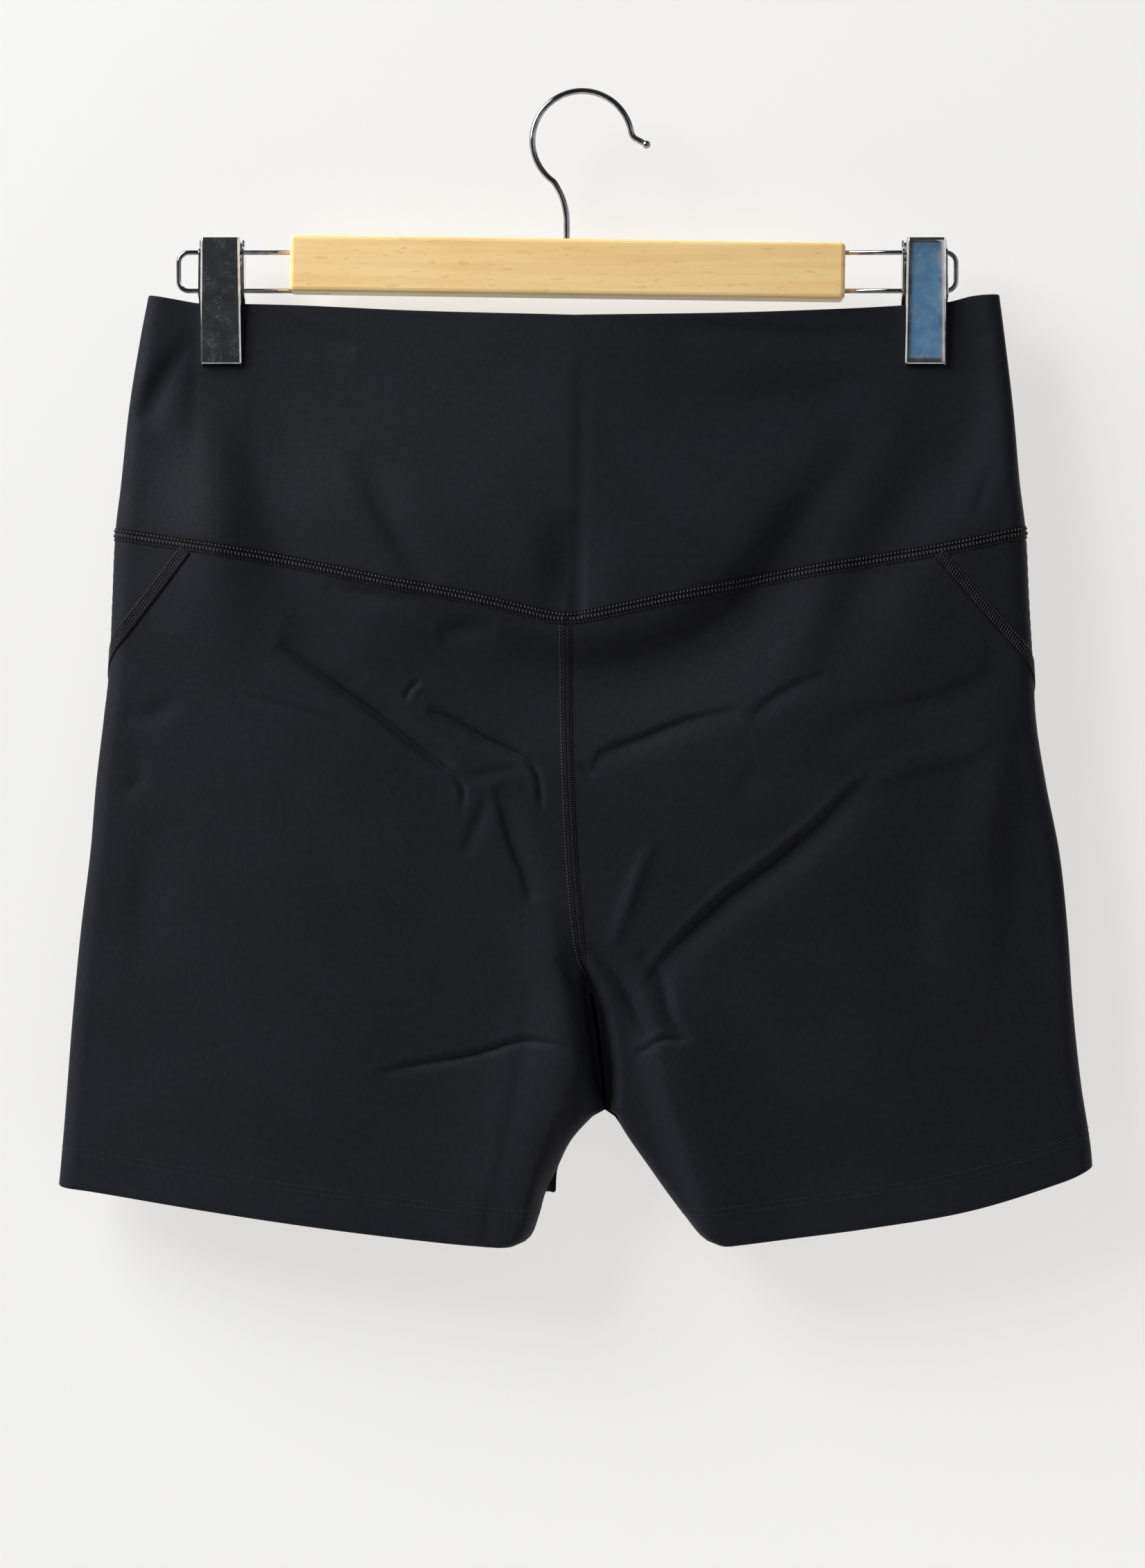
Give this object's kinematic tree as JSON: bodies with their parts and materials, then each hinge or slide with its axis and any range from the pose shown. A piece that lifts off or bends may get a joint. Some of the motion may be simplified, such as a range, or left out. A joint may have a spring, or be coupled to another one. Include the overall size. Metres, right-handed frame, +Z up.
{
  "type": "cycling shorts on clip hanger",
  "caption": "High-waisted black cycling shorts with a V-shaped yoke, hung flat by the waist from the sliding clips of a wooden bar hanger with a wire hook.",
  "frame": {"origin": "underside of the hook's top arc, where a rail carries the hanger", "axes": "+Z up, +X to the right as the pictured face is seen, -Y out of the pictured face towards the viewer"},
  "size_m": [0.4768, 0.0335, 0.5339],
  "materials": {
    "knit": "smooth matt-satin stretch knit, near black",
    "beech": "pale beech under satin varnish",
    "chrome": "bright chromed steel, lightly scratched"
  },
  "bodies": {
    "root": {"front_waistband": "knit", "back_waistband": "knit", "front_leg_left": "knit", "front_leg_right": "knit", "back_leg_left": "knit", "back_leg_right": "knit", "hanger_bar": "beech", "hanger_hook": "chrome", "wire_left": "chrome", "wire_right": "chrome", "clip_left_front": "chrome", "clip_left_back": "chrome", "clip_left_spring": "chrome", "clip_right_front": "chrome", "clip_right_back": "chrome", "clip_right_spring": "chrome"}
  },
  "joints": []
}
